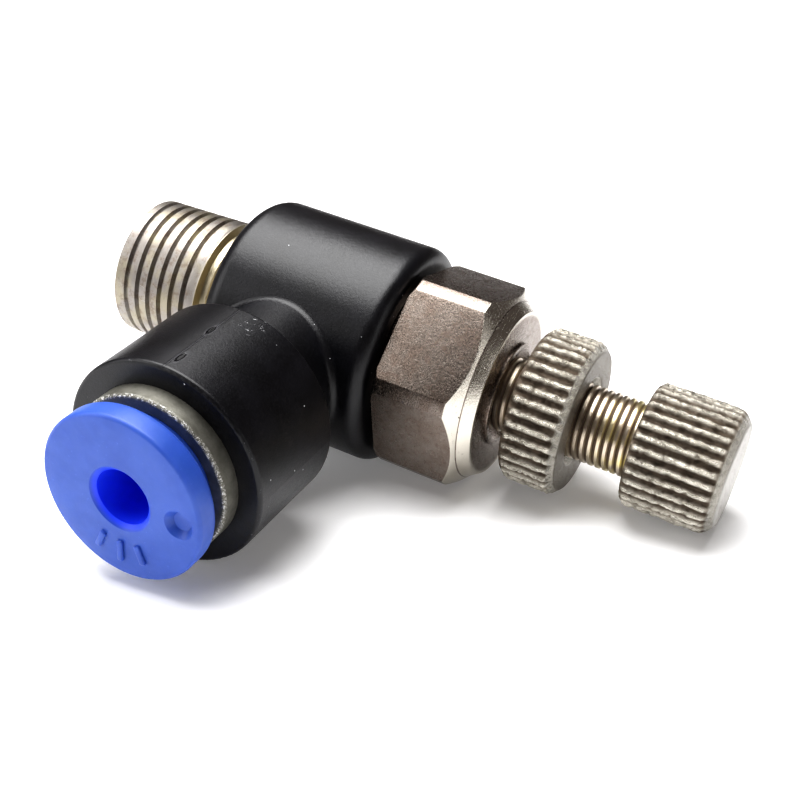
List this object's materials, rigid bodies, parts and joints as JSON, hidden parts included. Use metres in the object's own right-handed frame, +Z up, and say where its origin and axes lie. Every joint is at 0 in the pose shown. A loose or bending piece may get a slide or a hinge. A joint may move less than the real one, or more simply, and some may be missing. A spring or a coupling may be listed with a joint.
{
  "type": "flow control valve",
  "caption": "Elbow flow control valve: taper-threaded metal stem with hexagon, needle screw, lock nut and knob, swivelling moulded elbow with a push-in tube port.",
  "frame": {"origin": "on the valve axis at the port thread's gauge plane, 4.1 mm in from the small end", "axes": "+X along the valve axis towards the knob, -Y along the tube axis out of the tube port, +Z up as it lies on a table"},
  "size_m": [0.0436, 0.0304, 0.015],
  "materials": {
    "nickel_brass": "nickel plated, satin",
    "bare_brass": "turned",
    "worn_brass": "thin nickel plate, worn",
    "plated_casting": "tumbled nickel plate",
    "satin_zinc": "satin",
    "spring_steel": "cold rolled",
    "nitrile": "matte",
    "fibre_gasket": "pressed fibre",
    "white_acetal": "moulded",
    "black_moulding": "moulded, fine texture",
    "blue_acetal": "moulded, satin"
  },
  "bodies": {
    "valve_stem": {"port_stem": "nickel_brass", "seat_ring": "bare_brass", "check_seal": "nitrile", "stem_o_ring": "nitrile", "hex_bonnet": "nickel_brass", "joint_gasket": "fibre_gasket", "bonnet_o_ring": "nitrile", "needle_guide": "nickel_brass"},
    "elbow": {"elbow_body": "black_moulding", "tube_seal": "nitrile", "seal_spacer": "white_acetal", "collet_claws": "spring_steel", "guide_ring": "satin_zinc"},
    "release": {"release_ring": "blue_acetal"},
    "needle_seal": {"needle_o_ring": "nitrile"},
    "needle": {"needle_screw": "worn_brass", "stop_clip": "spring_steel", "knob": "plated_casting"},
    "nut": {"lock_nut": "plated_casting"}
  },
  "joints": [
    {"name": "elbow_swivel", "type": "hinge", "parent": "valve_stem", "child": "elbow", "pos_m": [0.01052, 0, 0], "axis": [1, 0, 0], "continuous": true},
    {"name": "release_push", "type": "slide", "parent": "elbow", "child": "release", "axis": [0, 1, 0], "range_m": [0, 0.00085], "stiffness_N_per_m": 30},
    {"name": "needle_travel", "type": "slide", "parent": "valve_stem", "child": "needle_seal", "axis": [1, 0, 0], "range_m": [-0.003, 0.0005]},
    {"name": "needle_turn", "type": "hinge", "parent": "needle_seal", "child": "needle", "pos_m": [0.01052, 0, 0], "axis": [1, 0, 0], "range_deg": [-2161, 361]},
    {"name": "lock_nut_travel", "type": "slide", "parent": "valve_stem", "child": "nut", "axis": [1, 0, 0], "range_m": [-0.0014, 0.0004]}
  ],
  "couplings": [
    {"joint": "needle_turn", "follows": "needle_travel", "rad_per_m": 12566}
  ]
}
